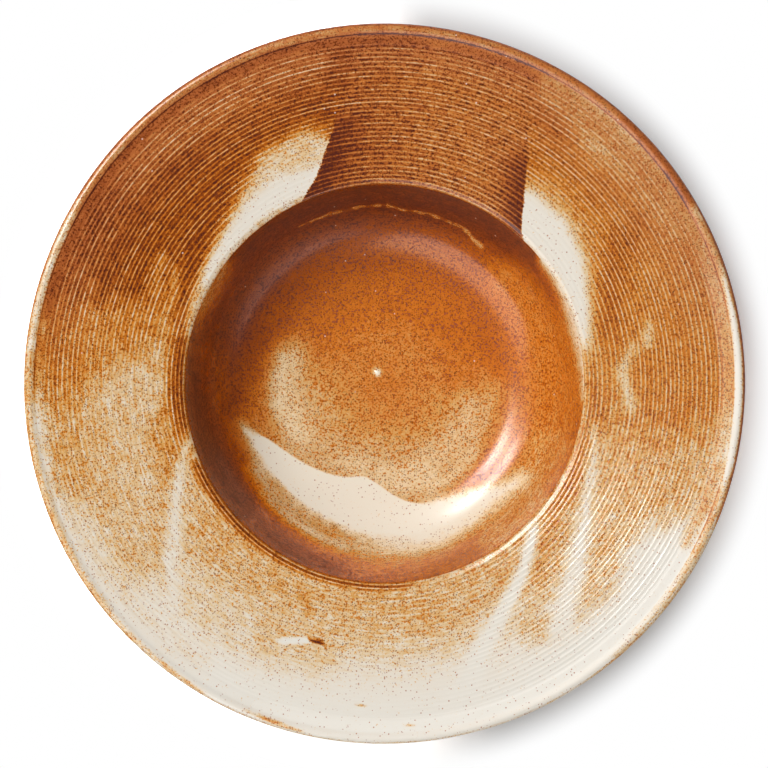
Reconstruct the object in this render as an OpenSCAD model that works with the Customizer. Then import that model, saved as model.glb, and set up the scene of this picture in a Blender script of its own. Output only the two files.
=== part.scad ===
// Wide-rimmed pasta bowl in dipped stoneware, standing on its foot ring at z = 0.
// The clay is one thrown piece with a ridged rim. Glaze covers it inside and out,
// stops above the bare foot ring, and lies as a pool of its own inside that ring.
// Widths and heights are those of the finished, glazed surface.

/* [Bowl] */
// Width of the bowl over its lip
bowl_w = 285; // [260:1:310]
// Height of the bowl from the table to the top of its lip
bowl_h = 58; // [52:1:66]
// Thickness of the well's side wall
well_wall = 5.2; // [4:0.1:6]
// Thickness of the bottom inside the foot ring
base_wall = 5.6; // [5:0.1:7]
// Thickness of the rim
rim_wall = 4; // [3.4:0.1:4.8]

/* [Well] */
// Width across the edge where the rim drops into the well
well_w = 159; // [148:1:170]
// Steepness of the well's side wall
wall_angle = 69; // [60:1:76]
// Radius of the cove between the floor and the side wall
cove_r = 27; // [20:1:30]
// Gentle rise of the floor from its middle to the cove
floor_angle = 1.2; // [0.4:0.1:2.4]
// Radius of the rounded edge between the side wall and the rim
edge_r = 3.2; // [2.4:0.1:4]
// Radius of the inside corner under the rim
armpit_r = 9; // [5:0.5:12]

/* [Rim] */
// Rise of the rim from the well to its upturned band
rim_angle = 8; // [5:0.5:9]
// Rise of the upturned band inside the lip
band_angle = 10; // [9.5:0.5:14]
// Width of the upturned band, measured along its slope
band_w = 6; // [4.5:0.5:9]
// Radius of the bend between the rim and the band
bend_r = 38; // [24:1:46]

/* [Lip] */
// Radius of the rolled lip
lip_r = 2.3; // [2:0.1:2.6]
// Height of the lip's bead over the band
lip_rise = 0.6; // [0.4:0.05:0.9]

/* [Ridges] */
// Distance from one throwing ridge to the next
ridge_pitch = 1.757; // [1.4:0.05:3]
// Depth of the troughs between the ridges in the clay
ridge_depth = 0.3; // [0.2:0.05:0.6]
// Depth that still shows after glaze has pooled in the troughs
glazed_depth = 0.1; // [0.05:0.05:0.45]
// Distance from the well's edge corner to the first ridge
ridge_start = 0.35; // [0:0.05:1]
// Least width of the smooth band between the last ridge and the lip
smooth_w = 3.8; // [2:0.1:8]

/* [Foot] */
// Width across the foot ring
foot_w = 93; // [84:1:100]
// Height of the foot ring outside
foot_h = 4.6; // [4:0.1:6]
// Width of the foot ring's wall
foot_wall = 5.4; // [4.5:0.1:7]
// Depth of the recess inside the foot ring
recess_h = 3.6; // [3.2:0.1:4]
// Radius at the root of the foot ring, inside and outside
root_r = 1.6; // [1:0.1:2]
// Rounding of the foot ring's standing edges
foot_round = 0.7; // [0.4:0.1:0.9]

/* [Glaze] */
// Thickness of the glaze coat
glaze_t = 0.4; // [0.3:0.05:0.6]
// Height above the table where the glaze stops on the foot ring
glaze_line = 1.5; // [1.2:0.1:1.9]

/* [Hidden] */
$fn = 96;
// Turn of each straight facet along a rounded part of the section, in degrees
arc_step = 4;
// Facets from one ridge to the next
scallop_steps = 4;

bowl_r = bowl_w / 2;
well_r = well_w / 2;
foot_r = foot_w / 2;
foot_in_r = foot_r - foot_wall;
floor_z = recess_h + base_wall;

// The section is drawn from straight lines, each a point and a rise in degrees,
// that meet in rounded corners. A depth of 0 is the finished surface, and a depth
// of glaze_t is the clay under it.
function along(a) = [cos(a), sin(a)];
function below(p, a, depth) = p + depth * [sin(a), -cos(a)];
function crossing(p, a, q, b) = p + ((q - p).x * sin(b) - (q - p).y * cos(b)) / sin(b - a) * along(a);

// A path from its end to its start, and the points of a path outside a radius
function reversed(path) = [for (i = [len(path) - 1:-1:0]) path[i]];
function beyond(path, r) = [for (p = path) if (p.x > r) p];

// Points of a circle's arc, both ends included
function arc(c, r, a0, a1) =
    let (n = max(1, ceil(abs(a1 - a0) / arc_step)))
    [for (i = [0:n]) c + r * along(a0 + (a1 - a0) * i / n)];

// Centre of a corner's rounding: the lines rise at a and b, both run towards
// larger radius, and side is 1 where the centre lies above them, -1 below
function corner_centre(p, a, b, r, side) =
    p + side * r / cos((b - a) / 2) * [-sin((a + b) / 2), cos((a + b) / 2)];

// Rounded corner from a line rising at a to a line rising at b
function corner(p, a, b, r, side) =
    arc(corner_centre(p, a, b, r, side), r, a - side * 90, b - side * 90);

// Lines of the finished upper surface
lip_c = [bowl_r - lip_r, bowl_h - lip_r];
band_drop = lip_r - lip_rise;
function groove_pt(depth) =
    below(lip_c, band_angle, depth - band_drop)
    - sqrt(pow(lip_r - depth, 2) - pow(band_drop - depth, 2)) * along(band_angle);
band_end = groove_pt(0);
bend_pt = band_end - band_w * along(band_angle);
edge_pt = [well_r, bend_pt.y - (bend_pt.x - well_r) * tan(rim_angle)];
floor_pt = [0, floor_z];

// The ridges fill the rim from the well's edge to the smooth band
first_ridge_r = well_r + ridge_start;
ridge_gaps = floor((band_end.x - smooth_w - first_ridge_r) / ridge_pitch);
last_ridge_r = first_ridge_r + ridge_gaps * ridge_pitch;

// Corners of the upper surface at a depth, and of the underside at a depth
function cove_corner(depth) =
    crossing(below(floor_pt, floor_angle, depth), floor_angle, below(edge_pt, wall_angle, depth), wall_angle);
function edge_corner(depth) =
    crossing(below(edge_pt, wall_angle, depth), wall_angle, below(edge_pt, rim_angle, depth), rim_angle);
function bend_corner(depth) =
    crossing(below(edge_pt, rim_angle, depth), rim_angle, below(bend_pt, band_angle, depth), band_angle);
function under_bend(depth) =
    crossing(below(edge_pt, rim_angle, rim_wall - depth), rim_angle,
             below(bend_pt, band_angle, rim_wall - depth), band_angle);
function armpit(depth) =
    crossing(below(edge_pt, wall_angle, well_wall - depth), wall_angle,
             below(edge_pt, rim_angle, rim_wall - depth), rim_angle);
under_cove = crossing([0, foot_h], 0, below(edge_pt, wall_angle, well_wall), wall_angle);

// Height of the smooth rim at a radius
edge_c = corner_centre(edge_corner(0), wall_angle, rim_angle, edge_r, -1);
bend_c = corner_centre(bend_corner(0), rim_angle, band_angle, bend_r, 1);
function rim_z(r, depth) =
    let (re = edge_r - depth, rb = bend_r + depth)
    r < edge_c.x - re * sin(rim_angle) ? edge_c.y + sqrt(max(0, re * re - pow(r - edge_c.x, 2)))
    : r < bend_c.x + rb * sin(rim_angle) ? edge_corner(depth).y + (r - edge_corner(depth).x) * tan(rim_angle)
    : r < bend_c.x + rb * sin(band_angle) ? bend_c.y - sqrt(rb * rb - pow(r - bend_c.x, 2))
    : bend_corner(depth).y + (r - bend_corner(depth).x) * tan(band_angle);

// Ridges: crests on the smooth rim, with a rounded trough between each pair
function trough(i, valley) = let (s = i / scallop_steps) 4 * valley * s * (1 - s);
function ridged_rim(depth, valley) =
    [for (i = [0:ridge_gaps * scallop_steps])
        let (r = first_ridge_r + i * ridge_pitch / scallop_steps)
        [r, rim_z(r, depth) - trough(i % scallop_steps, valley)]];

// Upper surface from the middle of the floor to the groove inside the lip
function wall_to_ridge(depth) =
    let (re = edge_r - depth, a = acos((first_ridge_r - edge_c.x) / re))
    arc(edge_c, re, wall_angle + 90, a + arc_step / 2);
function upper(depth, valley) = concat(
    [below(floor_pt, 0, depth / cos(floor_angle))],
    corner(cove_corner(depth), floor_angle, wall_angle, cove_r + depth, 1),
    wall_to_ridge(depth),
    ridged_rim(depth, valley),
    beyond(corner(bend_corner(depth), rim_angle, band_angle, bend_r + depth, 1), last_ridge_r));

// Lip from the groove over its top to the tangent that runs under the rim
function lip(depth) =
    let (g = groove_pt(depth) - lip_c, u = under_bend(depth) - lip_c, r = lip_r - depth,
         a1 = atan2(u.y, u.x) + acos(r / norm(u)))
    arc(lip_c, r, atan2(g.y, g.x), a1);

// Root of the foot ring, which runs into the flat bottom, or straight into the cove's
// underside where that starts inside the ring
under_r = cove_r + well_wall;
under_c = corner_centre(under_cove, 0, wall_angle, under_r, 1);
root_run = max(0, foot_r + root_r - under_c.x);
root_c = [foot_r + root_r, under_c.y - sqrt(pow(under_r + root_r, 2) - pow(root_run, 2))];
root_end = 90 + asin(root_run / (under_r + root_r));

// Underside from the lip to the root of the foot ring
function under(depth) = reversed(concat(
    arc(root_c, root_r + depth, 180, root_end),
    arc(under_c, under_r - depth, root_end - 180, wall_angle - 90),
    corner(armpit(depth), wall_angle, rim_angle, armpit_r + depth, -1),
    corner(under_bend(depth), rim_angle, band_angle, bend_r + rim_wall - depth, 1)));

// Inside of the foot ring and the ceiling of its recess, towards the middle
function recess(depth) = concat(
    arc([foot_in_r - root_r, recess_h - root_r], root_r + depth, 0, 90),
    [[0, recess_h + depth]]);

// Standing edge of the bare foot ring, from its outside to its inside
function foot_edge(depth) = concat(
    arc([foot_r - depth - foot_round, foot_round], foot_round, 0, -90),
    arc([foot_in_r + depth + foot_round, foot_round], foot_round, -90, -180));

module clay_body() {
    color([0.80, 0.68, 0.53])
        rotate_extrude()
            polygon(concat(
                upper(glaze_t, ridge_depth),
                lip(glaze_t),
                under(glaze_t),
                foot_edge(glaze_t),
                recess(glaze_t)));
}

module glaze_coat() {
    color([0.66, 0.40, 0.24])
        rotate_extrude()
            polygon(concat(
                upper(0, glazed_depth),
                lip(0),
                under(0),
                [[foot_r, glaze_line], [foot_r - glaze_t, glaze_line]],
                reversed(under(glaze_t)),
                reversed(lip(glaze_t)),
                reversed(upper(glaze_t, ridge_depth))));
}

module base_glaze() {
    color([0.86, 0.79, 0.69])
        rotate_extrude()
            polygon(concat(
                [[foot_in_r, glaze_line]],
                recess(0),
                reversed(recess(glaze_t)),
                [[foot_in_r + glaze_t, glaze_line]]));
}

clay_body();
glaze_coat();
base_glaze();
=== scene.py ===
import math
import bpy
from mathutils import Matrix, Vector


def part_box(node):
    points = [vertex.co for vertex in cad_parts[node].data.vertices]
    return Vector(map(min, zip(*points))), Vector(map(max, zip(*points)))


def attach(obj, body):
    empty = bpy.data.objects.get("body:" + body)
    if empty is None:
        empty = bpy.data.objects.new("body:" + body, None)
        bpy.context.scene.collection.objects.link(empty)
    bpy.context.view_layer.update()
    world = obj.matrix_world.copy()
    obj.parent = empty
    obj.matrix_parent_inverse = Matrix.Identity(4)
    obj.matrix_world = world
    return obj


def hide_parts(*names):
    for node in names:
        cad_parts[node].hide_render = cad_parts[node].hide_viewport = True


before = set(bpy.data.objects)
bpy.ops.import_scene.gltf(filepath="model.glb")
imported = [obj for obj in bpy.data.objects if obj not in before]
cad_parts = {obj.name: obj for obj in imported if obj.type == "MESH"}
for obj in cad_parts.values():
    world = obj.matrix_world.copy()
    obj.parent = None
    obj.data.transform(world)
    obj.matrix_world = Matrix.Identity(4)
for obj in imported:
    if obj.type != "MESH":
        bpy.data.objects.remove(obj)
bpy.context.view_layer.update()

import types

import bpy
import numpy as np

millimetre = 0.001
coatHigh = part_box("glaze_coat")[1]
bowlRadius = coatHigh[0] / millimetre
bowlHeight = coatHigh[2] / millimetre

print("bowl: section of the glaze")

bowl = {  # the finished, glazed surface, in millimetres and degrees
    "wellWall": 5.2, "baseWall": 5.6, "rimWall": 4.0,
    "wellWidth": 159.0, "wallAngle": 69.0, "coveRadius": 27.0, "floorAngle": 1.2,
    "edgeRadius": 3.2, "armpitRadius": 9.0,
    "rimAngle": 8.0, "bandAngle": 10.0, "bandWidth": 6.0, "bendRadius": 38.0,
    "lipRadius": 2.3, "lipRise": 0.6,
    "footWidth": 93.0, "footHeight": 4.6, "recessHeight": 3.6, "rootRadius": 1.6,
    "coat": 0.4, "glazeLine": 1.5,
}

ridges = {  # throwing ridges on the rim, in millimetres
    "start": 0.35,        # from the well's edge corner to the first crest
    "smooth": 3.8,        # least width of the smooth band inside the lip
    "pitch": 1.757, "depth": 0.08,
    "rings": 6,           # rings of the mesh from one crest to the next
    "sharpness": 0.8,     # lower is a sharper crest
    "breakWidth": 0.15,   # share of a pitch over which glaze thins on a crest
    "drift": (0.25, 0.18, -0.24, -0.35, -0.07, -0.16),  # how far hand-thrown ridges stray, as sine terms
    "proud": [(2.1, 0.30, 0.6), (0.77, 0.16, 0.0)],     # how proud each stands, as waves along the ridges
}

groove = {"pool": 2.6, "bandFade": 0.45, "lipFade": 0.3, "lipThin": 0.4}  # glaze pools inside the lip

segments = 256  # steps round the bowl
turns = {"cove": 3, "edge": 6, "lip": 11, "under": 4.5, "root": 18}  # degrees from one ring to the next
hiddenTurns = {"lip": 50, "under": 14, "root": 56}  # the back of the glaze needs fewer rings


def along(angle):
    return np.array([math.cos(math.radians(angle)), math.sin(math.radians(angle))])


def below(point, angle, depth):
    return np.array(point) + depth * np.array([along(angle)[1], -along(angle)[0]])


def crossing(p, a, q, b):
    run = np.array(q) - np.array(p)
    step = (run[0] * along(b)[1] - run[1] * along(b)[0]) / math.sin(math.radians(b - a))
    return np.array(p) + step * along(a)


def cornerCentre(point, a, b, radius, side):
    reach = side * radius / math.cos(math.radians((b - a) / 2))
    return np.array(point) + reach * np.array([-along((a + b) / 2)[1], along((a + b) / 2)[0]])


def arc(centre, radius, start, end, step):
    count = max(1, math.ceil(abs(end - start) / step))
    return [centre + radius * along(start + (end - start) * i / count) for i in range(count + 1)]


wellRadius = bowl["wellWidth"] / 2
footRadius = bowl["footWidth"] / 2
lipCentre = np.array([bowlRadius - bowl["lipRadius"], bowlHeight - bowl["lipRadius"]])
bandDrop = bowl["lipRadius"] - bowl["lipRise"]
grooveReach = math.sqrt(bowl["lipRadius"] ** 2 - bandDrop ** 2)
bandEnd = below(lipCentre, bowl["bandAngle"], -bandDrop) - grooveReach * along(bowl["bandAngle"])
bendPoint = bandEnd - bowl["bandWidth"] * along(bowl["bandAngle"])
edgeDrop = (bendPoint[0] - wellRadius) * math.tan(math.radians(bowl["rimAngle"]))
edgePoint = np.array([wellRadius, bendPoint[1] - edgeDrop])
floorPoint = np.array([0.0, bowl["recessHeight"] + bowl["baseWall"]])
coveCorner = crossing(floorPoint, bowl["floorAngle"], edgePoint, bowl["wallAngle"])
coveCentre = cornerCentre(coveCorner, bowl["floorAngle"], bowl["wallAngle"], bowl["coveRadius"], 1)
edgeCentre = cornerCentre(edgePoint, bowl["wallAngle"], bowl["rimAngle"], bowl["edgeRadius"], -1)
bendCentre = cornerCentre(bendPoint, bowl["rimAngle"], bowl["bandAngle"], bowl["bendRadius"], 1)
firstCrest = wellRadius + ridges["start"]
ridgeGaps = math.floor((bandEnd[0] - ridges["smooth"] - firstCrest) / ridges["pitch"])


def ease(value, low, high):  # smooth step from 0 at low to 1 at high
    share = np.clip((value - low) / (high - low), 0, 1)
    return share * share * (3 - 2 * share)


def rimHeight(radius):
    if radius < edgeCentre[0] - bowl["edgeRadius"] * along(bowl["rimAngle"])[1]:
        return edgeCentre[1] + math.sqrt(max(0.0, bowl["edgeRadius"] ** 2 - (radius - edgeCentre[0]) ** 2))
    if radius < bendCentre[0] + bowl["bendRadius"] * along(bowl["rimAngle"])[1]:
        return edgePoint[1] + (radius - wellRadius) * math.tan(math.radians(bowl["rimAngle"]))
    if radius < bendCentre[0] + bowl["bendRadius"] * along(bowl["bandAngle"])[1]:
        return bendCentre[1] - math.sqrt(bowl["bendRadius"] ** 2 - (radius - bendCentre[0]) ** 2)
    return bendPoint[1] + (radius - bendPoint[0]) * math.tan(math.radians(bowl["bandAngle"]))


def crestRadius(i):
    share = i / ridgeGaps
    stray = sum(size * math.sin(math.pi * (k + 1) * share) for k, size in enumerate(ridges["drift"]))
    return firstCrest + ridges["pitch"] * i + stray


def ridgeStrength(i):  # some ridges stand prouder than others
    return 1 + sum(size * math.sin(rate * i + start) for rate, size, start in ridges["proud"])


# Each ring is (radius, height, crest, trough): crest and trough say how the glaze thins or pools there
def upperRings():
    rings = [(0.0, floorPoint[1], 0, 0)]
    coveStart = coveCentre + bowl["coveRadius"] * along(bowl["floorAngle"] - 90)
    fine = [0.6 * i for i in range(1, 12)]  # close rings in the middle, for the nub
    coarse = list(np.linspace(fine[-1], coveStart[0], 25)[1:-1])
    slope = math.tan(math.radians(bowl["floorAngle"]))
    rings += [(r, floorPoint[1] + r * slope, 0, 0) for r in fine + coarse]
    cove = arc(coveCentre, bowl["coveRadius"], bowl["floorAngle"] - 90, bowl["wallAngle"] - 90, turns["cove"])
    edge = arc(edgeCentre, bowl["edgeRadius"], bowl["wallAngle"] + 90, bowl["rimAngle"] + 90, turns["edge"])
    wall = list(np.linspace(cove[-1], edge[0], 7)[1:-1])
    edge = [p for p in edge if p[0] < crestRadius(0) - 0.15]
    rings += [(p[0], p[1], 0, 0) for p in cove + wall + edge]
    for i in range(ridgeGaps):
        depth = ridges["depth"] * (ridgeStrength(i) + ridgeStrength(i + 1)) / 2
        for k in range(ridges["rings"]):
            share = k / ridges["rings"]
            r = crestRadius(i) + share * (crestRadius(i + 1) - crestRadius(i))
            hollow = math.sin(math.pi * share) ** ridges["sharpness"]
            near = min(share, 1 - share) / ridges["breakWidth"]
            strength = ridgeStrength(i) if share < 0.5 else ridgeStrength(i + 1)
            rings.append((r, rimHeight(r) - depth * hollow, strength * math.exp(-near ** 2), hollow))
    last = crestRadius(ridgeGaps)
    rings.append((last, rimHeight(last), 0.5, 0))
    for r in np.linspace(last, bandEnd[0], 10)[1:-1]:
        pool = groove["pool"] * math.exp(-(bandEnd[0] - r) / groove["bandFade"])
        rings.append((r, rimHeight(r), 0, pool))
    return rings


def underBend(inset):
    start = below(edgePoint, bowl["rimAngle"], bowl["rimWall"] - inset)
    end = below(bendPoint, bowl["bandAngle"], bowl["rimWall"] - inset)
    return crossing(start, bowl["rimAngle"], end, bowl["bandAngle"])


def lipRings(inset, step):
    inner = below(lipCentre, bowl["bandAngle"], inset - bandDrop)
    radius = bowl["lipRadius"] - inset
    reach = math.sqrt(radius ** 2 - (bandDrop - inset) ** 2)
    inner = inner - reach * along(bowl["bandAngle"]) - lipCentre
    turn = underBend(inset) - lipCentre
    start = math.degrees(math.atan2(inner[1], inner[0]))
    end = math.degrees(math.atan2(turn[1], turn[0]) + math.acos(radius / math.hypot(*turn)))
    rings = []
    for x, z in arc(np.zeros(2), radius, start, end, step):
        crest = groove["lipThin"] * max(0.0, z / radius) ** 3
        pool = groove["pool"] * math.exp(-(x - inner[0]) / groove["lipFade"])
        rings.append((lipCentre[0] + x, lipCentre[1] + z, crest, pool))
    return rings


def underRings(inset, degrees, flats):
    rimLine = below(edgePoint, bowl["rimAngle"], bowl["rimWall"] - inset)
    wallLine = below(edgePoint, bowl["wallAngle"], bowl["wellWall"] - inset)
    armpit = crossing(wallLine, bowl["wallAngle"], rimLine, bowl["rimAngle"])
    pitRadius = bowl["armpitRadius"] + inset
    pitCentre = cornerCentre(armpit, bowl["wallAngle"], bowl["rimAngle"], pitRadius, -1)
    pit = arc(pitCentre, pitRadius, bowl["rimAngle"] + 90, bowl["wallAngle"] + 90, degrees["under"])
    bendRadius = bowl["bendRadius"] + bowl["rimWall"] - inset
    bend = arc(bendCentre, bendRadius, bowl["bandAngle"] - 90, bowl["rimAngle"] - 90, degrees["under"])
    underRadius = bowl["coveRadius"] + bowl["wellWall"]
    wallBack = below(edgePoint, bowl["wallAngle"], bowl["wellWall"])
    underCorner = crossing((0, bowl["footHeight"]), 0, wallBack, bowl["wallAngle"])
    underCentre = cornerCentre(underCorner, 0, bowl["wallAngle"], underRadius, 1)
    rootRun = max(0.0, footRadius + bowl["rootRadius"] - underCentre[0])
    rootReach = underRadius + bowl["rootRadius"]
    rootDrop = math.sqrt(rootReach ** 2 - rootRun ** 2)
    rootCentre = np.array([footRadius + bowl["rootRadius"], underCentre[1] - rootDrop])
    rootEnd = 90 + math.degrees(math.asin(rootRun / rootReach))
    cove = arc(underCentre, underRadius - inset, bowl["wallAngle"] - 90, rootEnd - 180, degrees["under"])
    root = arc(rootCentre, bowl["rootRadius"] + inset, rootEnd, 180, degrees["root"])
    rim = list(np.linspace(bend[-1], pit[0], flats + 2)[1:-1])
    wall = list(np.linspace(pit[-1], cove[0], 3)[1:-1])
    stop = [np.array([footRadius - inset, bowl["glazeLine"]])]
    return [(p[0], p[1], 0, 0) for p in bend + rim + pit + wall + cove[:-1] + root + stop]


def hiddenUpperRings():  # the back of the glaze, where few rings are enough
    coat = bowl["coat"] + 0.15  # below the troughs, where the glaze is thicker
    upper = [(r, z - coat) for r, z, _, _ in upperRings()]
    kept = upper[0:1] + upper[11:36:8] + upper[36:60:3] + upper[60:72:5]
    lip = below(bandEnd, bowl["bandAngle"], bowl["coat"])
    kept += [(r, rimHeight(r) - coat) for r in np.linspace(firstCrest + 1, bandEnd[0] - 2, 8)]
    return [(r, z, 0, 0) for r, z in kept if r < lip[0] - 1][::-1]


outer = upperRings()
upperCount = len(outer)
outer += lipRings(0.0, turns["lip"])


def soften(rings, width, start, end):  # glaze fills a sharp hollow between two radii
    radius = np.array([ring[0] for ring in rings])
    height = np.array([ring[1] for ring in rings])
    softer = []
    for r, z, crest, trough in rings:
        near = np.exp(-((radius - r) / width) ** 2) * np.gradient(radius)
        share = ease(r, start, start + 2 * width) * ease(r, end, end - 2 * width)
        softer.append((r, z + share * ((near * height).sum() / near.sum() - z), crest, trough))
    return softer


lipTop = [i for i, ring in enumerate(outer) if bandEnd[0] - 6 < ring[0] < lipCentre[0] + 1.2
          and (i < upperCount or ring[1] > lipCentre[1])]
lipStart, lipStop = lipTop[0], lipTop[-1] + 1
outer[lipStart:lipStop] = soften(outer[lipStart:lipStop], 0.9, bandEnd[0] - 3.5, lipCentre[0] + 0.8)
coveStop = [i for i, ring in enumerate(outer[:upperCount]) if ring[0] < 66][-1]
outer[:coveStop] = soften(outer[:coveStop], 5.0, 32, 64)
outer += underRings(0.0, turns, 14)
visibleCount = len(outer)
back = underRings(bowl["coat"], hiddenTurns, 2)[::-1] + lipRings(bowl["coat"], hiddenTurns["lip"])[::-1]
rings = outer + back + hiddenUpperRings()
ringRadius = np.array([ring[0] for ring in rings])
ringHeight = np.array([ring[1] for ring in rings])
steps = np.hypot(np.diff(ringRadius), np.diff(ringHeight))
ringPath = np.concatenate([[0], np.cumsum(steps)])
print("rings", len(rings), "of which seen", visibleCount, "triangles", 2 * segments * (len(rings) - 2))


print("bowl: amounts of rust glaze over the cream")

bearing = 2 * math.pi * np.arange(segments) / segments
gridRadius, gridBearing = np.meshgrid(ringRadius[1:-1], bearing, indexing="ij")
gridX = gridRadius * np.cos(gridBearing)
gridY = gridRadius * np.sin(gridBearing)
farOff = 1e6
strokeTurn = 6  # degrees of bearing in one straight piece of a stroke


def strokeGap(points):  # distance outside a stroke, negative inside it
    gap = np.full(gridX.shape, farOff)
    route = []
    for (r0, a0, w0), (r1, a1, w1) in zip(points, points[1:]):
        pieces = max(1, int(abs(a1 - a0) / strokeTurn))
        for k in range(pieces):
            t = k / pieces
            route.append((r0 + t * (r1 - r0), a0 + t * (a1 - a0), w0 + t * (w1 - w0)))
    route.append(points[-1])
    for (r0, a0, w0), (r1, a1, w1) in zip(route, route[1:]):
        start = r0 * along(a0)
        run = r1 * along(a1) - start
        t = np.clip(((gridX - start[0]) * run[0] + (gridY - start[1]) * run[1]) / (run @ run), 0, 1)
        off = np.hypot(gridX - start[0] - t * run[0], gridY - start[1] - t * run[1])
        gap = np.minimum(gap, off - w0 - t * (w1 - w0))
    return gap


def paint(field, strokes):
    for amount, strength, soft, *points in strokes:
        cover = ease(strokeGap(points), soft, -soft)
        field += (amount - field) * cover * strength


def outlineGap(outline):  # distance inside a closed outline, negative outside it
    points = np.array([r * along(a) for r, a in outline])
    for _ in range(2):  # rounds the corners
        following = np.roll(points, -1, axis=0)
        cut = [0.75 * points + 0.25 * following, 0.25 * points + 0.75 * following]
        points = np.stack(cut, 1).reshape(-1, 2)
    gap = np.full(gridX.shape, farOff)
    inside = np.zeros(gridX.shape, bool)
    for start, end in zip(points, np.roll(points, -1, axis=0)):
        run = end - start
        t = np.clip(((gridX - start[0]) * run[0] + (gridY - start[1]) * run[1]) / (run @ run), 0, 1)
        gap = np.minimum(gap, np.hypot(gridX - start[0] - t * run[0], gridY - start[1] - t * run[1]))
        spans = (start[1] > gridY) != (end[1] > gridY)
        inside ^= spans & (gridX < start[0] + (gridY - start[1]) * run[0] / (run[1] if run[1] else 1e-9))
    return np.where(inside, gap, -gap)


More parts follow.
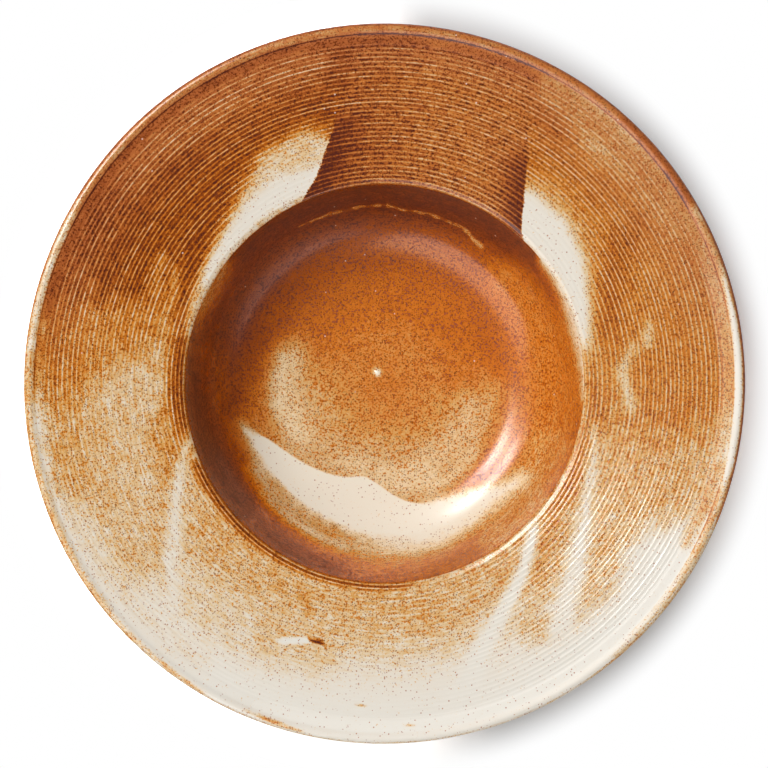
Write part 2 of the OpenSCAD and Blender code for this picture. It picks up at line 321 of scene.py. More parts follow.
# A stroke is (amount of rust, strength, softness, then radius, bearing and half width along it)
rimStrokes = [
    (0.26, 1.0, 10, (96, 180, 14), (104, 190, 24), (110, 205, 24), (116, 214, 16)),    # speckled left side
    (0.22, 0.8, 9, (116, 226, 8), (116, 240, 8), (114, 256, 6)),
    (0.40, 1.0, 10, (108, 169, 12), (120, 172, 15), (130, 176, 14)),
    (0.36, 0.9, 7, (128, 186, 10), (129, 197, 9)),
    (0.19, 0.8, 6, (133, 202, 5), (133, 216, 5), (131, 236, 4)),
    (0.79, 1.0, 9, (110, 65, 30), (110, 100, 30), (111, 148, 29)),       # the rust dip
    (0.74, 0.95, 12, (114, 156, 8), (121, 161, 9), (128, 164, 8)),
    (0.54, 0.85, 12, (121, 174, 6), (128, 179, 8), (134, 178, 7)),
    (0.50, 0.9, 7, (96, 166, 8), (103, 168, 7)),
    (0.88, 0.85, 9, (132, 150, 4), (131, 158, 5), (133, 164, 3)),
    (0.62, 0.9, 8, (133, 168, 6), (132, 173, 6)),
    (0.60, 0.9, 7, (131, 104, 8), (130, 122, 10), (131, 140, 5)),
    (0.84, 0.9, 1.8, (136.6, 92, 1.4), (136.6, 120, 1.6), (136.6, 150, 2), (136.2, 160, 2.4),
     (136.2, 168, 2)),
    (0.88, 0.7, 3, (117.5, 124, 1.6), (117, 145, 2.2), (117, 163, 1.6)),
    (0.86, 0.7, 3, (107.5, 142, 1.5), (107, 160, 2)),
    (0.88, 0.8, 2.6, (103, 126, 1.6), (102.5, 138, 1.4)),
    (0.48, 0.95, 3.5, (101, 151, 3), (98, 158, 3)),
    (0.42, 0.95, 3, (93.5, 152, 2.6), (91, 158, 2.4)),
    (0.34, 0.95, 12, (112, -16, 26), (112, -6, 30)),                     # thinner on the right
    (0.50, 0.95, 12, (113, 4, 29), (113, 18, 29), (113, 31, 29)),
    (0.56, 0.95, 8, (110, 44, 13), (110, 59, 13)),
    (0.42, 0.95, 5, (132, 30, 7), (133, 61, 7)),
    (0.68, 0.95, 7, (117, 31.5, 3.5), (109, 30.5, 5), (102, 26.5, 4.5), (96, 19.5, 3.4), (90, 13, 2)),
    (0.20, 0.95, 5, (94, 108, 12), (93, 116, 11), (90, 123, 8), (86.5, 132, 5), (84, 142, 3),
     (81.6, 154, 1.8), (80.6, 160, 0.8)),                                # cream crescent on the left
    (0.05, 0.95, 4, (85.5, 107, 5), (86, 118, 6), (85, 127, 4.6), (83, 138, 3.2), (81.4, 150, 1.6)),
    (0.86, 0.85, 3, (99, 130, 1.8), (93.5, 141, 2), (88.5, 151, 1.8), (86, 162, 1.2)),
    (0.38, 0.9, 7, (97, 50, 9), (96, 40, 8), (90, 30, 5)),
    (0.04, 0.95, 5, (87, 52, 9), (88, 43, 9), (86.5, 33, 7), (83.5, 22, 4.2), (81.2, 12, 1.8)),  # and another
    (0.12, 0.8, 3, (108, 13, 1), (105, 9, 2)),
    (0.14, 0.8, 3.5, (99, 8, 1.6), (94, 3, 2.4), (98, -5, 2.4)),         # pale patches
    (0.50, 0.8, 5, (85, 184, 3), (87, 198, 4.4)),
    (0.40, 0.8, 4, (90, 190, 3), (93, 203, 4)),
    (0.56, 0.85, 4, (83.6, -38, 2.4), (84.6, -22, 4), (84, -6, 3), (83, 4, 1.4)),
    (0.66, 0.9, 3, (85, 160, 2.4), (84.5, 168, 2.6), (84, 180, 2.4), (83, 194, 1.6)),
    (0.88, 0.9, 2, (81.6, 168, 1.6), (81.4, 180, 2), (81, 192, 1.6)),    # run along the brink
    (0.80, 0.9, 1.8, (80.6, 204, 2.2), (80.5, 228, 2), (80.5, 240, 1.4), (80.5, 276, 1.2)),
    (0.12, 0.9, 3, (82.5, -163, 1), (88, -156.5, 1.8), (95, -150, 2.4), (105, -142.5, 3), (114, -137, 3.4),
     (124, -133, 3.6), (134, -130, 4)),                                  # cream streak on the lower left
    (0.31, 0.8, 8, (92, -22, 6), (106, -32, 8), (116, -44, 8), (114, -58, 6)),
    (0.42, 0.9, 4, (84.5, -39, 3), (92, -46, 3.6), (98, -51, 3)),
    (0.02, 0.9, 2.5, (83, -44.5, 1.8), (92.5, -53.4, 2.2), (99, -60.2, 2.6), (105.5, -65.6, 3),
     (112.6, -70, 3.6), (120.8, -73.4, 4.4), (129, -76.8, 6)),           # cream run on the lower right
    (0.06, 0.8, 4, (85, -12, 1), (90, -26, 2), (99, -38, 3), (109, -47, 4), (118, -54, 5)),
    (0.31, 0.85, 6, (108, -114, 4), (105, -102, 5)),
    (-0.05, 1.0, 0.8, (110, 248, 1), (107, 251.5, 1.2), (105.8, 254, 0.8)),   # scar in the glaze
    (1.15, 1.0, 0.7, (105.6, 254.6, 0.5), (105.3, 256.4, 0.9)),
    (1.00, 0.8, 0.8, (135.5, 274.4, 0.3), (135.5, 274.6, 0.3)),
    (1.00, 0.8, 0.8, (127.5, 265.9, 0.3), (127.5, 266.1, 0.3)),
    (0.40, 0.85, 3, (135, -28, 2), (136, -14, 2.4)),
]

print("bowl: painting the rim")
lipTopRings = 9  # rings of the lip that are painted with the top
brinkIn = 0.7  # the well's own paint starts this far inside the first crest
rimRust = {"inner": 0.31, "outer": 0.01, "from": 88, "to": 136}
onTop = np.arange(1, len(rings) - 1) < upperCount + lipTopRings
inWell = onTop & (ringRadius[1:-1] < firstCrest - brinkIn)
outward = ease(gridRadius, rimRust["from"], rimRust["to"])
rust = rimRust["inner"] + (rimRust["outer"] - rimRust["inner"]) * outward
paint(rust, rimStrokes)

wellStrokes = [
    (0.53, 1.0, 16, (0.5, 90, 40), (1, 90, 40)),                         # orange floor
    (0.60, 0.8, 12, (26, 125, 12), (34, 85, 14), (36, 50, 12)),
    (0.66, 0.7, 7, (43, 135, 4), (45, 105, 5), (47, 75, 4)),
    (0.47, 0.8, 12, (12, 150, 6), (12, 250, 12), (16, -30, 8)),
    (0.38, 0.9, 12, (24, 190, 8), (24, 225, 8), (26, 260, 8), (26, 300, 10), (28, 328, 9)),
    (0.42, 0.8, 9, (38, -8, 5), (40, 6, 4)),
    (0.30, 0.9, 10, (38, 158, 3), (36, 176, 7), (36, 200, 9), (35, 230, 9), (34, 265, 9), (36, 290, 8)),
    (0.16, 0.85, 8, (41, 166, 4), (43, 190, 5.5), (41, 212, 4)),
    (0.14, 0.85, 8, (38, 250, 4), (41, 275, 5), (44, 292, 5)),
    (0.22, 0.8, 7, (37, 296, 5), (37, 310, 6), (37, 325, 6), (36, 345, 5)),
    (0.14, 0.8, 4, (46, 298, 2.5), (47, 310, 2.5), (46, 322, 1.5)),
    (0.28, 0.9, 7, (44, -50, 5), (44, -22, 5), (45, -4, 3)),
    (0.30, 0.85, 5, (54, -162, 2), (50, -152, 3), (45, -136, 4), (40, -116, 4), (40, -98, 4), (47, -82, 4),
     (49, -68, 3)),                                                      # tan above the cream
    (0.44, 0.9, 7, (53, -28, 5), (52, -8, 6)),
    (0.50, 0.9, 8, (66, -32, 10), (64, -12, 14), (64, 14, 14), (63, 40, 10)),   # orange wall on the right
    (0.50, 0.9, 5, (52, 184, 3), (56, 200, 4), (60, 214, 3.5)),
    (0.76, 0.9, 6, (67, 208, 5), (70, 222, 4.5)),
    (0.80, 0.9, 4, (75.5, 236, 2.6), (76, 254, 2.2)),
    (0.56, 0.9, 4.5, (73.5, 262, 3), (73, 274, 4), (72.5, 286, 4.5), (72, 296, 5)),
    # paler on the lower right of the wall: partly painted sheen, standing in for the floor's reflection there
    (0.42, 0.9, 6, (72, 306, 6), (69, 320, 9), (70, 338, 9)),
    (0.80, 0.95, 9, (71, 196, 8), (69, 180, 13), (68, 168, 14)),
    (0.90, 0.95, 9, (68, 157, 14), (68, 140, 15), (70, 115, 12), (72, 90, 10),
     (73, 70, 8), (75, 50, 5)),
    (0.74, 0.9, 6, (51, 150, 5), (52, 125, 5), (52.5, 100, 4.5), (52.5, 76, 3.5)),
    # paler band high in the cove: partly painted sheen, standing in for the reflection of a lamp at the lower
    # left
    (0.60, 0.8, 5, (55.5, 90, 3), (56, 70, 4), (57, 52, 3)),
    (1.08, 0.9, 6, (76, 136, 3), (76.5, 118, 6), (76, 95, 8), (76, 70, 7), (76.5, 52, 4.5), (77, 40, 2.5),
     (78, 26, 1)),                                                       # double dip pooled under the brink
    (1.02, 0.9, 5, (75, 222, 4.5), (74, 206, 6.5), (75, 190, 5), (76.5, 176, 3)),
    (1.00, 0.8, 5, (76, 230, 3), (77, 244, 2.6), (77.5, 256, 2)),
    (0.66, 0.8, 4, (78, 264, 1.6), (78, 280, 1.4)),
    # paler under the brink on the lower right: partly painted sheen, standing in for the floor's reflection
    # there
    (0.34, 0.8, 4, (76.5, 302, 2.6), (76.5, 324, 3)),
    (0.44, 0.9, 3, (77.5, 144, 1.6), (76.8, 154, 2.2), (78, 162, 1)),
    (0.86, 0.9, 1.8, (79.4, 196, 1.4), (79.4, 240, 1.2), (79.4, 276, 0.8)),
    (0.70, 0.8, 1.8, (79.4, -34, 0.8), (79.4, -8, 1)),
    (0.10, 0.9, 2.4, (79.4, -4, 1.2), (78.8, 14, 2.2), (79.2, 38, 1.6)),
    (0.30, 0.7, 2, (79.4, 143, 1.2), (79.2, 156, 1.4)),
    (0.24, 0.85, 5, (62, 214, 2.4), (64, 232, 2.8), (67, 250, 3), (67.6, 270, 3.4), (67, 288, 3),
     (65, 304, 2.2), (62, 314, 2)),
    (0.10, 0.6, 2, (66, 222, 0.8), (66.5, 236, 1), (66.5, 248, 0.9), (67, 256, 0.6)),
    (0.04, 0.9, 1.2, (5.1, 121.5, 1.4), (5.3, 121.5, 1.4)),              # thin over the nub
]
# Cream tongue across the low side of the well: radius and bearing of its outline
moustache = [(60, -166), (57.2, -161), (52.7, -156), (48.8, -147.5), (46, -136), (43, -122.5), (41, -112),
             (38, -103), (40, -95), (46, -84.5), (51, -74), (51, -64.5), (53, -53), (61, -42), (64, -37.5),
             (67.5, -32.5), (68.4, -35.5), (66.4, -43), (66, -52), (67, -62), (68, -71), (67.4, -82),
             (65, -95), (62, -107), (61, -121), (59.5, -134), (59, -147), (60, -158)]
# Light line under the brink: radius, bearing and half width along it
vein = [(72, 119, 0.4), (71.4, 110, 0.5), (71, 104, 0.6), (71.6, 97, 0.5), (71.6, 90, 0.5), (70, 83, 0.5),
        (70.4, 76, 0.6), (70, 69, 0.5), (70.2, 63, 0.5), (67.9, 58, 0.9), (67.2, 54, 0.7)]
lipStrokes = [
    (0.84, 1.0, 2, (141, 32, 4), (141, 48, 4)),
    (0.66, 1.0, 2, (141, 50.5, 4), (141, 70, 4), (141, 100, 4)),
    (0.30, 0.8, 1.4, (138.6, 38, 0.6), (138.6, 62, 0.6)),
    (0.42, 1.0, 2.4, (140.6, 14, 3), (141, 26, 3)),
    (0.54, 1.0, 2, (141, 100, 4), (141, 125, 4), (141, 146, 3)),
    (0.22, 0.95, 2.2, (141, 152, 1.6), (140.8, 160, 2.4), (141.2, 176, 2.2)),
    (0.34, 0.95, 2, (141.2, 176, 1.8), (141.2, 200, 1.6), (141.2, 222, 1.2), (141.6, 240, 0.6)),
    (0.05, 1.0, 2, (140, 244, 2.6), (140, 275, 3), (140, 312, 3)),
    (0.30, 0.9, 1.2, (140.2, 247, 0.6), (140.2, 253, 0.6)),
    (0.48, 0.9, 1, (141, 231.2, 0.7), (141.6, 235, 0.9), (141.8, 238, 0.6)),
    (0.45, 0.9, 1, (140.4, 250, 0.5), (141, 254.5, 0.8), (141.6, 257, 0.5)),
    (0.28, 1.0, 2.4, (141.4, -50, 1), (140.6, -32, 2.2), (140.6, -14, 2)),
    (0.20, 0.9, 2.4, (138.4, -46, 0.6), (138, -30, 1.4)),
    (0.44, 0.9, 2.4, (137.6, -28, 1.6), (137, -10, 2), (136.8, 22, 2.4)),
    (0.04, 1.0, 2, (139.8, -16, 1), (139.8, 0, 2.2), (140.2, 12, 1.2), (140.6, 18, 0.6)),
    (0.60, 0.9, 1, (142.4, -20, 0.6), (142.4, 16, 0.8)),
]
# Darker second dip at the top: radius and bearing of its outline
wedge = [(76, 118), (80.4, 113), (85.6, 108.4), (94, 104.5), (99.4, 102.5), (106.6, 100.2), (115.8, 97.8),
         (123.4, 96.2), (133, 94.6), (144, 93), (146, 80), (146, 66), (136.3, 63.6), (131.7, 63), (121, 61.3),
         (114.6, 59.8), (107.3, 58.1), (99.3, 55.6), (92.3, 53.4), (82.7, 49), (76, 44), (70, 60), (68, 90)]

print("bowl: painting the well and the lip")
wellBase = 0.7
lipFrom = 138.2
top, well = onTop[:, None], inWell[:, None]
wellRust = np.full(gridX.shape, wellBase)
paint(wellRust, wellStrokes)
rust = np.where(well, wellRust, rust)
lipRust = rust.copy()
paint(lipRust, lipStrokes)
rust = np.where(gridRadius > lipFrom, lipRust, rust)

nowhere = -20  # a gap well outside, where a zone can't reach
moustacheGap = np.where(well, outlineGap(moustache), nowhere)
veinGap = np.where(well, -strokeGap(vein), nowhere)
wedgeGap = np.where(well | ~top, nowhere, outlineGap(wedge))
leftBorder = strokeGap([(r, a, 0) for r, a in wedge[:10]])
rightBorder = strokeGap([(r, a, 0) for r, a in wedge[12:21]])
lowDown = ease(gridRadius, 113, 99)  # the wedge's borders are darker near the well
wedgeRust = 0.65 - 0.11 * ease(gridX, -5, 25)
wedgeRust += 0.16 * ease(gridRadius, 132, 135) * ease(gridRadius, 138, 136)
wedgeRust += 0.42 * lowDown * np.exp(-(leftBorder / (3 + 8 * lowDown)) ** 2)
wedgeRust += 0.46 * lowDown * np.exp(-(rightBorder / (3 + 5 * lowDown)) ** 2)
redness = 0.35 * ease(wedgeGap, -1.5, 1.5)
redness += np.where(well, 0.7 * ease(wellRust, 0.95, 1.2) * ease(gridY, 20, 50), 0)

print("bowl: painting the underside")
underStrokes = [
    (0.85, 0.9, 30, (110, 110, 34), (110, 60, 34)),
    (0.60, 0.7, 20, (100, 10, 20), (100, -20, 20)),
    (0.30, 0.7, 20, (100, 180, 20), (100, 225, 20)),
    (0.08, 0.9, 20, (120, 250, 22), (120, 300, 22)),
    (0.05, 0.8, 8, (78, 96, 8), (80, 130, 9), (84, 150, 6)),
    (0.70, 0.7, 6, (52, 30, 4), (52, 150, 4), (52, 210, 3)),
    (0.40, 0.9, 3, (141.6, -54, 1), (141.6, -34, 1.4)),
    (0.80, 1.0, 3, (141.6, -22, 1.4), (141.6, 10, 1.4), (141.6, 40, 2)),
    (0.40, 1.0, 2, (141.4, 150, 1.4), (141.4, 225, 1.4)),
]
tilt = (gridX + 128) * 0.20 + (gridY - 15) * 0.98  # how far a place lies inside the rust dip
underRust = 0.24 + 0.56 * ease(tilt, -26, 32)
paint(underRust, underStrokes)
rust = np.where(top, rust, underRust)

print("bowl: mesh of the glaze")

hand = {  # what the hand and the glaze leave, in millimetres
    "wobble": 0.14,
    # each is a count of waves round the bowl, their share of the wobble and where they start
    "outWaves": [(2, 1.0, 0.6), (3, 0.6, 2.0), (5, 0.35, 4.0), (9, 0.25, 0.0)],
    "upWaves": [(2, 0.6, 2.2), (4, 0.3, 1.0)],
    "wedgeStep": 0.08, "stepWidth": 1.6,
    "nub": (5.1, 121.5), "nubHeight": 0.5, "nubWidth": 1.5,
}


def wobble(waves):  # grows towards the lip
    height = sum(size * np.sin(count * gridBearing + start) for count, size, start in waves)
    return hand["wobble"] * (gridRadius / bowlRadius) ** 2 * height


nubPoint = hand["nub"][0] * along(hand["nub"][1])
nubGap = np.hypot(gridX - nubPoint[0], gridY - nubPoint[1])
stepEnd = hand["stepWidth"] / 2
lift = wobble(hand["upWaves"])
lift = lift + top * hand["wedgeStep"] * ease(wedgeGap, -stepEnd, stepEnd)
lift = lift + top * hand["nubHeight"] * np.exp(-(nubGap / hand["nubWidth"]) ** 2)
crest = np.array([ring[2] for ring in rings])[1:-1, None] * np.ones(segments)
trough = np.array([ring[3] for ring in rings])[1:-1, None] * np.ones(segments)


def buildShell(name, material):
    ringCount = len(rings) - 2
    points = np.empty((ringCount * segments + 2, 3))
    reachOut = gridRadius + wobble(hand["outWaves"])
    points[1:-1, 0] = (reachOut * np.cos(gridBearing)).ravel()
    points[1:-1, 1] = (reachOut * np.sin(gridBearing)).ravel()
    points[1:-1, 2] = (ringHeight[1:-1, None] + lift).ravel()
    points[0] = (0, 0, ringHeight[0])
    points[-1] = (0, 0, ringHeight[-1])
    index = 1 + np.arange(ringCount * segments).reshape(ringCount, segments)
    onward = np.roll(index, -1, axis=1)
    quads = np.stack([index[:-1], index[1:], onward[1:], onward[:-1]], -1).reshape(-1, 4)
    firstFan = np.stack([np.zeros(segments, int), index[0], onward[0]], -1)
    lastFan = np.stack([onward[-1], index[-1], np.full(segments, len(points) - 1)], -1)
    faces = [tuple(face) for face in np.vstack([firstFan, lastFan]).tolist()]
    faces += [tuple(face) for face in quads.tolist()]
    mesh = bpy.data.meshes.new(name)
    mesh.from_pydata((points * millimetre).tolist(), [], faces)
    mesh.polygons.foreach_set("use_smooth", [True] * len(mesh.polygons))
    mesh.materials.append(material)
    piece = bpy.data.objects.new(name, mesh)
    bpy.context.scene.collection.objects.link(piece)
    return piece


def keepAmount(piece, name, field):  # stores a painted amount on the mesh, for the material to read
    values = np.concatenate([field[0:1, 0], field.ravel(), field[-1:, 0]]).astype(np.float32)
    piece.data.attributes.new(name, "FLOAT", "POINT").data.foreach_set("value", values)


unroll = {"margin": 0.002, "hiddenSpread": 0.15}  # the back of the glaze gets little of the map


def layOutMap(piece):  # unrolls the shell: bearing runs across the map, the section runs up it
    spread = np.where(np.arange(len(rings)) < visibleCount, 1.0, unroll["hiddenSpread"])
    up = np.concatenate([[0], np.cumsum(steps * spread[1:])])
    up = unroll["margin"] + (1 - 2 * unroll["margin"]) * up / up[-1]
    count = len(piece.data.loops)
    corner = np.empty(count, np.int32)
    piece.data.loops.foreach_get("vertex_index", corner)
    start = np.empty(len(piece.data.polygons), np.int32)
    piece.data.polygons.foreach_get("loop_start", start)
    face = np.searchsorted(start, np.arange(count), side="right") - 1
    column = np.where(corner == 0, -1, (corner - 1) % segments)
    pole = (corner == 0) | (corner == corner.max())
    row = np.where(corner == 0, 0, np.where(pole, len(rings) - 1, 1 + (corner - 1) // segments))
    least = np.full(len(start), segments)
    np.minimum.at(least, face[~pole], column[~pole])
    most = np.zeros(len(start), int)
    np.maximum.at(most, face[~pole], column[~pole])
    wraps = (most - least)[face] > 1
    across = np.where(wraps & (column == 0), segments, column)
    middle = np.where((most - least) > 1, segments - 0.5, least + 0.5)[face]
    across = np.where(pole, middle, across) / segments
    layer = piece.data.uv_layers.new(name="OFBake")
    layer.data.foreach_set("uv", np.stack([across, up[row]], -1).astype(np.float32).ravel())


print("bowl: glazes")

glaze = {  # colours as seen, 0 to 255, and sizes in millimetres
    # amounts of rust glaze and their colours, from cream to a double dip
    "shades": [(0.00, (231, 225, 214)), (0.12, (230, 219, 203)), (0.25, (224, 196, 154)),
               (0.40, (215, 160, 86)), (0.55, (207, 122, 32)), (0.72, (180, 94, 16)),
               (0.88, (148, 68, 8)), (1.05, (112, 46, 8)), (1.25, (82, 32, 18))],
    # rose is the wedge's own pink, and on the upper outer rim a painted sheen
    "maroon": (96, 34, 22), "roseAndSheen": (176, 104, 74), "iron": (84, 38, 14),
    "dust": (124, 56, 8), "freckle": (162, 84, 26), "pit": (236, 214, 196),
    "grain": 0.85, "blotch": 4.0, "cloud": 9.0,
    "streak": 0.9, "streakTurn": (15, 15, 15), "dash": 0.75, "dashTurn": (45, 45, 45),
    "grainShade": 0.30,   # how much darker the grains are than the rust round them
    "dustSize": 0.85, "dustRadius": 0.44,
    "ironSpecks": [(1.5, 0.25, 0.8), (0.8, 0.36, 0.65)],  # spacing, radius and strength
    "pitSize": 4.0, "pitRadius": 0.10, "pitShare": 0.12,
    "brink": 79.2,        # radius inside which the tints below hold
    "wellTint": (1.02, 0.92, 0.93, 1), "lowWallTint": (1.24, 1.08, 0.5, 1),
    # the last makes the cream inside the well paler: painted light
    "creamPaintedLight": (1.12, 1.10, 1.03, 1),
    "roughness": 0.20, "bump": 0.00003,
}


def linear(colour):
    return [((c / 255 + 0.055) / 1.055) ** 2.4 if c > 10 else c / 255 / 12.92 for c in colour] + [1.0]


def startTree(owner):  # the helpers below add nodes to the tree that was started last
    global tree
    owner.use_nodes = True
    tree = owner.node_tree
    tree.nodes.clear()
    return owner


def add(kind, inputs=None, **settings):
    node = tree.nodes.new(kind)
    for key, value in settings.items():
        setattr(node, key, value)
    for key, value in (inputs or {}).items():
        if isinstance(value, bpy.types.NodeSocket):
            tree.links.new(value, node.inputs[key])
        else:
            node.inputs[key].default_value = value
    return node


def calc(operation, *values):
    return add("ShaderNodeMath", dict(enumerate(values)), operation=operation).outputs[0]


def vector(operation, inputs):
    return add("ShaderNodeVectorMath", inputs, operation=operation).outputs[0]


def fade(value, low, high, bottom=0.0, top=1.0):  # eased step from bottom to top
    limits = {"Value": value, "From Min": low, "From Max": high, "To Min": bottom, "To Max": top}
    return add("ShaderNodeMapRange", limits, interpolation_type="SMOOTHSTEP").outputs[0]


def mix(share, first, second):  # between two colours
    return add("ShaderNodeMix", {0: share, 6: first, 7: second}, data_type="RGBA").outputs[2]


def tint(share, colour, factor):
    inputs = {0: share, 6: colour, 7: factor}
    return add("ShaderNodeMix", inputs, data_type="RGBA", blend_type="MULTIPLY").outputs[2]


def blend(share, first, second):  # between two numbers
    return add("ShaderNodeMix", {0: share, 2: first, 3: second}).outputs[0]


def sway(value, strength, base=0.0):  # noise about its middle, added to a base
    return calc("MULTIPLY_ADD", calc("SUBTRACT", value, 0.5), strength, base)


def noise(where, size, detail, rough=0.5):
    inputs = {"Vector": where, "Scale": 1 / size, "Detail": detail, "Roughness": rough}
    return add("ShaderNodeTexNoise", inputs).outputs["Fac"]


def specks(where, size, share, radius):  # dots in a share of the cells of a grid
    cells = add("ShaderNodeTexVoronoi", {"Vector": where, "Scale": 1 / size})
    chance = add("ShaderNodeSeparateColor", {0: cells.outputs["Color"]})
    dot = fade(cells.outputs["Distance"], radius, 0.55 * radius)
    return calc("MULTIPLY", dot, calc("LESS_THAN", chance.outputs[0], share))


def placeInMillimetres():
    place = add("ShaderNodeTexCoord").outputs["Object"]
    return vector("SCALE", {0: place, "Scale": 1 / millimetre})


def painted(name):  # an amount that is kept on the mesh
    return add("ShaderNodeAttribute", attribute_name=name).outputs["Fac"]


def surface(inputs):
    shader = add("ShaderNodeBsdfPrincipled", inputs)
    add("ShaderNodeOutputMaterial", {"Surface": shader.outputs[0]})


def readPlace():  # where a point of the glaze lies, and the noises there
    where = placeInMillimetres()
    level = vector("MULTIPLY", {0: where, 1: (1, 1, 0)})
    turn = vector("NORMALIZE", {0: level})
    climb = add("ShaderNodeCombineXYZ", {"Z": painted("path")}).outputs[0]
    parts = add("ShaderNodeSeparateXYZ", {0: where}).outputs
    # Both run round the bowl, and a larger turn makes them shorter
    streaks = vector("MULTIPLY_ADD", {0: turn, 1: glaze["streakTurn"], 2: climb})
    dashes = vector("MULTIPLY_ADD", {0: turn, 1: glaze["dashTurn"], 2: climb})
    return types.SimpleNamespace(
        where=where, across=parts[0], upward=parts[1],
        radius=add("ShaderNodeVectorMath", {0: level}, operation="LENGTH").outputs["Value"],
        cloud=noise(where, glaze["cloud"], 3.0),
        fine=noise(where, glaze["grain"], 3.0, 0.7),
        grain=noise(where, glaze["grain"], 1.0, 0.5),
        blotch=noise(where, glaze["blotch"], 3.0, 0.6),
        streak=noise(streaks, glaze["streak"], 2.0, 0.6),
        dash=noise(dashes, glaze["dash"], 2.0, 0.6))


def rustDepth(at, wedgeShare):  # how much rust glaze lies over the cream, with ragged borders
    depth = blend(wedgeShare, painted("rust"), painted("wedgeRust"))
    soft = calc("MAXIMUM", fade(at.radius, 53, 62, 0.6, 7.0), fade(at.across, 12, 26, 0.6, 4.5))
    ragged = calc("ADD", calc("SUBTRACT", at.fine, 0.5), calc("SUBTRACT", at.blotch, 0.5))
    moustache = calc("MULTIPLY_ADD", ragged, calc("MULTIPLY", soft, 1.1), painted("moustache"))
    depth = blend(fade(calc("DIVIDE", moustache, soft), -1.0, 1.0), depth, 0.02)
    waver = calc("ADD", calc("MULTIPLY", at.fine, 3.2), calc("MULTIPLY", at.blotch, 3.0))
    vein = calc("ADD", calc("SUBTRACT", waver, 3.1), painted("vein"))
    return blend(fade(vein, -0.1, 0.35, 0.0, 0.9), depth, 0.30)


def mottled(at, depth, wedgeShare):  # adds streaks and grains, and thins or pools the glaze on the ridges
    swing = calc("MULTIPLY", fade(depth, 0.02, 0.34, 0.10, 0.95), fade(at.radius, 56, 80, 0.4, 1.0))
    calm = calc("MULTIPLY", fade(at.across, 10, 80, 0.0, 0.55), fade(at.upward, -30, 10))
    swing = calc("MULTIPLY", swing, calc("SUBTRACT", 1.0, calm))
    mottle = sway(at.fine, 0.35, sway(at.blotch, 0.5, sway(at.streak, 0.7)))
    shade = calc("MULTIPLY_ADD", calc("MULTIPLY", mottle, swing), 0.8, depth)

    crest = painted("crest")
    dense = sway(at.blotch, 0.12, fade(depth, 0.02, 0.4, -0.13, 0.02))
    grains = fade(calc("ADD", at.grain, dense), 0.52, 0.72)
    darker = calc("MULTIPLY_ADD", crest, -0.16, fade(depth, 0.3, 0.6, 0.32, glaze["grainShade"]))
    shade = calc("MULTIPLY_ADD", grains, darker, shade)

    thin = calc("MULTIPLY", fade(depth, 0.22, 0.72, 0.0, 0.35), calc("MULTIPLY_ADD", wedgeShare, -0.25, 1.0))
    shade = calc("SUBTRACT", shade, calc("MULTIPLY", crest, thin))
    dashDeep = blend(wedgeShare, fade(depth, 0.45, 0.8, 0.0, 0.20), 0.42)
    dash = calc("MULTIPLY", fade(at.dash, 0.48, 0.60), dashDeep)
    pool = calc("MULTIPLY", calc("POWER", painted("trough"), 2.0), fade(depth, 0.1, 0.6))
    return calc("MULTIPLY_ADD", pool, calc("ADD", dash, 0.12), shade)


def meltColour(at, shade, wedgeShare):
    last = glaze["shades"][-1][0]
    ramp = add("ShaderNodeValToRGB", {0: calc("DIVIDE", shade, last)})
    stops = ramp.color_ramp.elements
    for i, (amount, seen) in enumerate(glaze["shades"]):
        stop = stops[i] if i < 2 else stops.new(amount / last)
        stop.position = amount / last
        stop.color = linear(seen)

    inWell = calc("LESS_THAN", at.radius, glaze["brink"])
    lowWall = calc("MULTIPLY", fade(at.radius, 60, 70), fade(at.upward, -10, 40, 1.0, 0.0))
    lowWall = calc("MULTIPLY", lowWall, fade(at.across, -5, 30, 1.0, 0.0))
    warmth = mix(lowWall, glaze["wellTint"], glaze["lowWallTint"])
    colour = tint(calc("MULTIPLY", inWell, fade(shade, 0.35, 0.5)), ramp.outputs[0], warmth)
    dark = fade(shade, 0.6, 1.1)
    redder = calc("MULTIPLY", calc("MULTIPLY", painted("redness"), dark), 0.4)
    colour = mix(redder, colour, linear(glaze["maroon"]))
    # Painted light: the cream inside the well is made paler, to make up for the well's shade
    colour = tint(calc("MULTIPLY", inWell, fade(shade, 0.2, 0.35, 1.0, 0.0)), colour, glaze["creamPaintedLight"])
    # Painted sheen: the upper half of the outer rim is tinted rose, standing in for the pinkish reflection of
    # a lamp at the lower left; in the wedge the rose is the glaze's own colour
    light = calc("MULTIPLY", calc("SUBTRACT", 1.0, dark), fade(shade, 0.2, 0.45))
    outward = calc("MULTIPLY", fade(at.radius, 104, 136, 0.0, 0.42), fade(at.upward, -10, 60))
    outward = calc("MAXIMUM", outward, calc("MULTIPLY", wedgeShare, 0.22))
    return mix(calc("MULTIPLY", light, outward), colour, linear(glaze["roseAndSheen"]))


def speckled(at, depth, colour):  # dust, iron specks and pits lie on top of the melt
    freckle, dust, iron, pit = [linear(glaze[name]) for name in ("freckle", "dust", "iron", "pit")]
    dots = specks(at.where, glaze["dustSize"], fade(depth, 0.04, 0.3, 0.03, 0.55), glaze["dustRadius"])
    dots = calc("MULTIPLY", dots, fade(at.grain, 0.35, 0.6, 0.5, 0.9))
    colour = mix(dots, colour, mix(fade(depth, 0.2, 0.5), freckle, dust))
    rusty = mix(fade(depth, 0.05, 0.35), freckle, iron)
    share = fade(depth, 0.03, 0.3, 0.06, 0.34)
    for size, radius, strength in glaze["ironSpecks"]:
        colour = mix(calc("MULTIPLY", specks(at.where, size, share, radius), strength), colour, rusty)
    pits = specks(at.where, glaze["pitSize"], glaze["pitShare"], glaze["pitRadius"])
    return mix(calc("MULTIPLY", pits, fade(depth, 0.3, 0.5, 0.0, 0.8)), colour, pit)


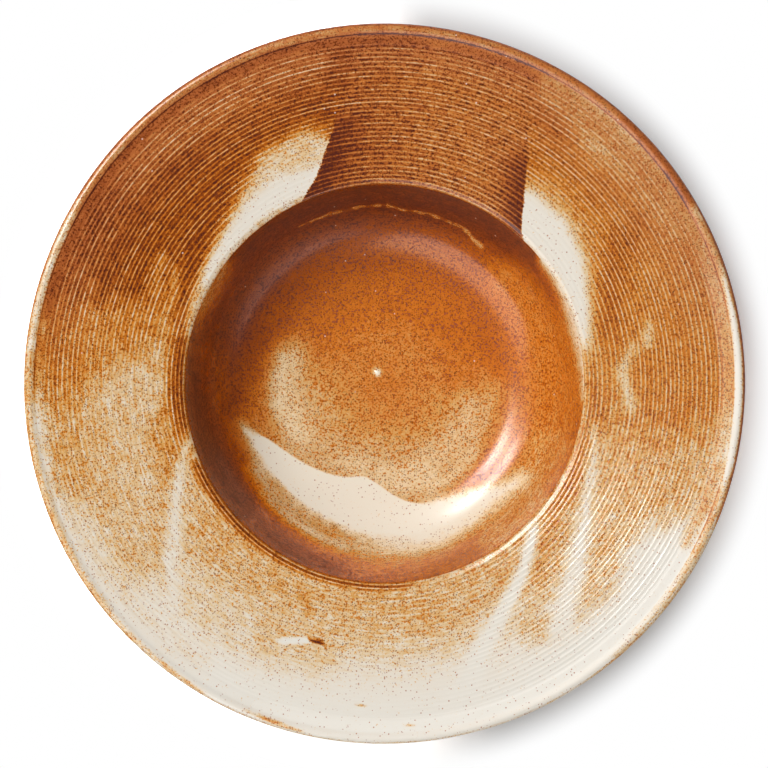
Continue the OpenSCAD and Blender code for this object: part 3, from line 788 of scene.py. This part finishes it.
def dippedMaterial():
    material = startTree(bpy.data.materials.new("dipped glaze"))
    at = readPlace()
    wedgeIn = sway(at.fine, 1.6, sway(at.cloud, 2.4, painted("wedge")))
    wedgeShare = fade(calc("DIVIDE", wedgeIn, fade(at.radius, 100, 138, 0.35, 3.2)), -1.0, 1.0)
    depth = rustDepth(at, wedgeShare)
    shade = mottled(at, depth, wedgeShare)
    colour = speckled(at, depth, meltColour(at, shade, wedgeShare))

    matt = calc("MULTIPLY", fade(shade, 0.6, 1.1, 0.0, 0.24), fade(at.radius, 76, 80, 1.0, 0.1))
    lowRight = fade(calc("SUBTRACT", at.upward, at.across), -110, -60, 0.34, 0.0)
    matt = calc("ADD", matt, calc("MULTIPLY", fade(at.radius, 131, 135), lowRight))
    matt = calc("ADD", matt, glaze["roughness"] - 0.06)
    rough = calc("MULTIPLY_ADD", at.fine, 0.06, calc("MULTIPLY_ADD", at.blotch, 0.06, matt))
    height = calc("ADD", at.fine, at.blotch)
    bump = add("ShaderNodeBump", {"Height": height, "Strength": 0.25, "Distance": glaze["bump"]})
    surface({"Base Color": colour, "Roughness": rough, "Normal": bump.outputs[0], "IOR": 1.42})
    return material


baseGlaze = {  # the pool inside the foot ring, in millimetres and the glaze's own colours
    "blotch": 5.0, "specks": [(1.5, 0.16, 0.26), (0.8, 0.14, 0.36)],  # spacing, share and radius
    "speckStrength": 0.75, "roughness": 0.22,
}


def baseMaterial():
    material = startTree(bpy.data.materials.new("base glaze"))
    where = placeInMillimetres()
    cream, tan = [linear(glaze["shades"][i][1]) for i in (0, 2)]
    colour = mix(fade(noise(where, baseGlaze["blotch"], 4.0, 0.6), 0.42, 0.75), cream, tan)
    big, small = [specks(where, *row) for row in baseGlaze["specks"]]
    dots = calc("MULTIPLY", calc("MAXIMUM", big, small), baseGlaze["speckStrength"])
    colour = mix(dots, colour, linear(glaze["iron"]))
    surface({"Base Color": colour, "Roughness": baseGlaze["roughness"], "IOR": 1.6})
    return material


clay = {  # colours as seen, 0 to 255, and sizes in millimetres
    "dark": (190, 158, 120), "pale": (222, 198, 164), "speck": (116, 74, 44),
    "grain": 0.6, "speckSize": 1.2, "speckShare": 0.2, "speckRadius": 0.3,
    "roughness": 0.88, "bump": 0.0001,
}


def clayMaterial():
    material = startTree(bpy.data.materials.new("bare clay"))
    where = placeInMillimetres()
    grain = noise(where, clay["grain"], 4.0, 0.7)
    colour = mix(fade(grain, 0.3, 0.75), linear(clay["dark"]), linear(clay["pale"]))
    dots = specks(where, clay["speckSize"], clay["speckShare"], clay["speckRadius"])
    colour = mix(dots, colour, linear(clay["speck"]))
    bump = add("ShaderNodeBump", {"Height": grain, "Strength": 0.6, "Distance": clay["bump"]})
    surface({"Base Color": colour, "Roughness": clay["roughness"], "Normal": bump.outputs[0]})
    return material


coat = buildShell("dippedGlaze", dippedMaterial())
shellFields = {"rust": rust, "wedge": wedgeGap, "wedgeRust": wedgeRust, "moustache": moustacheGap,
               "vein": veinGap, "redness": redness, "crest": crest, "trough": trough,
               "path": ringPath[1:-1, None] * np.ones(segments)}
for name, field in shellFields.items():
    keepAmount(coat, name, field)
layOutMap(coat)
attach(coat, "root")
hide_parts("glaze_coat")

for name, material in (("clay_body", clayMaterial()), ("base_glaze", baseMaterial())):
    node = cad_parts[name]
    node.data.materials.clear()
    node.data.materials.append(material)

print("bowl: table, lamps and camera")

studio = {
    # bearing, angle off the vertical, width, height and brightness as the bowl sees them
    "lamps": [(137, 40, 32, 32, 7.4), (235, 40, 46, 46, 1.6), (297, 70, 40, 40, 0.8)],
    "shines": [(140, 33, 22, 22, 5.0), (147, 27, 11, 11, 30.0), (137, 44, 26, 13, 22.0),
               (232, 47, 52, 38, 2.9), (137, 57, 44, 9, 4.0), (310, 74, 56, 34, 2.4)],
    "distance": 2.2, "fill": 0.20, "gloss": 0.10,
    "tableGain": 1.5, "tableBounce": 0.8,
    "whiteFrom": 0.1415, "whiteTo": 0.1595,  # the table turns to plain white this far out
    "camera": (-0.00016, -0.00012, 2.4), "lens": 278.0,
}


def tableMaterial():  # painted shadow: its brightness is painted by bearing, darker where the bowl's shadow is deep, and white far out
    material = startTree(bpy.data.materials.new("table"))
    place = add("ShaderNodeTexCoord").outputs["Object"]
    away = add("ShaderNodeVectorMath", {0: place}, operation="LENGTH").outputs["Value"]
    seen = add("ShaderNodeLightPath").outputs["Is Camera Ray"]
    heading = add("ShaderNodeSeparateXYZ", {0: vector("NORMALIZE", {0: place})}).outputs
    east, north = heading[0], heading[1]
    # Painted shadow: by bearing round the bowl, the camera sees the table lighter or darker than its lamps
    # make it, which shapes the bowl's shadow
    level = fade(calc("ABSOLUTE", north), 0.0, 0.72, 0.9, 0.0)
    right = calc("MULTIPLY", calc("GREATER_THAN", east, 0.0), level)
    lowerLeft, upperLeft = fade(east, 0.0, 0.35, 1.3, 0.0), fade(east, -0.12, 0.14, 1.3, 0.0)
    left = blend(calc("GREATER_THAN", north, 0.0), lowerLeft, upperLeft)
    paintedShadow = calc("ADD", calc("ADD", right, left), fade(north, -0.75, -0.1, 0.445, 0.505))
    gain = blend(seen, studio["tableBounce"], calc("MULTIPLY", paintedShadow, studio["tableGain"]))
    grey = add("ShaderNodeCombineColor", {0: gain, 1: gain, 2: gain}).outputs[0]
    diffuse = add("ShaderNodeBsdfDiffuse", {"Color": grey}).outputs[0]
    glow = add("ShaderNodeEmission", {"Strength": 1.0}).outputs[0]
    white = calc("MULTIPLY", seen, fade(away, studio["whiteFrom"], studio["whiteTo"]))
    both = add("ShaderNodeMixShader", {0: white, 1: diffuse, 2: glow})
    add("ShaderNodeOutputMaterial", {"Surface": both.outputs[0]})
    return material


bpy.ops.mesh.primitive_plane_add(size=6)
table = bpy.context.object
table.name = "table"
table.data.materials.append(tableMaterial())


def hangLamp(name, turn, tip, width, height, brightness):
    lamp = bpy.data.lights.new(name, "AREA")
    lamp.shape = "RECTANGLE"
    lamp.size = 2 * studio["distance"] * math.tan(math.radians(height / 2))
    lamp.size_y = 2 * studio["distance"] * math.tan(math.radians(width / 2))
    lamp.energy = math.pi * lamp.size * lamp.size_y * brightness
    holder = bpy.data.objects.new(name, lamp)
    bpy.context.scene.collection.objects.link(holder)
    holder.rotation_euler = (0, math.radians(tip), math.radians(turn))
    sideways = studio["distance"] * along(tip)[1] * along(turn)
    holder.location = (sideways[0], sideways[1], studio["distance"] * along(tip)[0])
    holder.visible_camera = False
    return holder


# The lamps that light the bowl are soft, and the ones that its gloss shows are narrower
for i, lamp in enumerate(studio["lamps"]):
    hangLamp(f"lamp{i}", *lamp).visible_glossy = False
for i, lamp in enumerate(studio["shines"]):
    hangLamp(f"shine{i}", *lamp).visible_diffuse = False

bpy.context.scene.world = startTree(bpy.data.worlds.new("room"))
rays = add("ShaderNodeLightPath").outputs
strength = blend(rays["Is Camera Ray"], blend(rays["Is Glossy Ray"], studio["fill"], studio["gloss"]), 1.0)
sky = add("ShaderNodeBackground", {"Color": (1, 1, 1, 1), "Strength": strength})
add("ShaderNodeOutputWorld", {"Surface": sky.outputs[0]})

camera = bpy.data.cameras.new("camera")
camera.sensor_width = 36
camera.lens = studio["lens"]
camera.clip_end = 20
cameraHolder = bpy.data.objects.new("camera", camera)
cameraHolder.location = studio["camera"]
bpy.context.scene.collection.objects.link(cameraHolder)
scene = bpy.context.scene
scene.camera = cameraHolder
scene.view_settings.view_transform = "Standard"
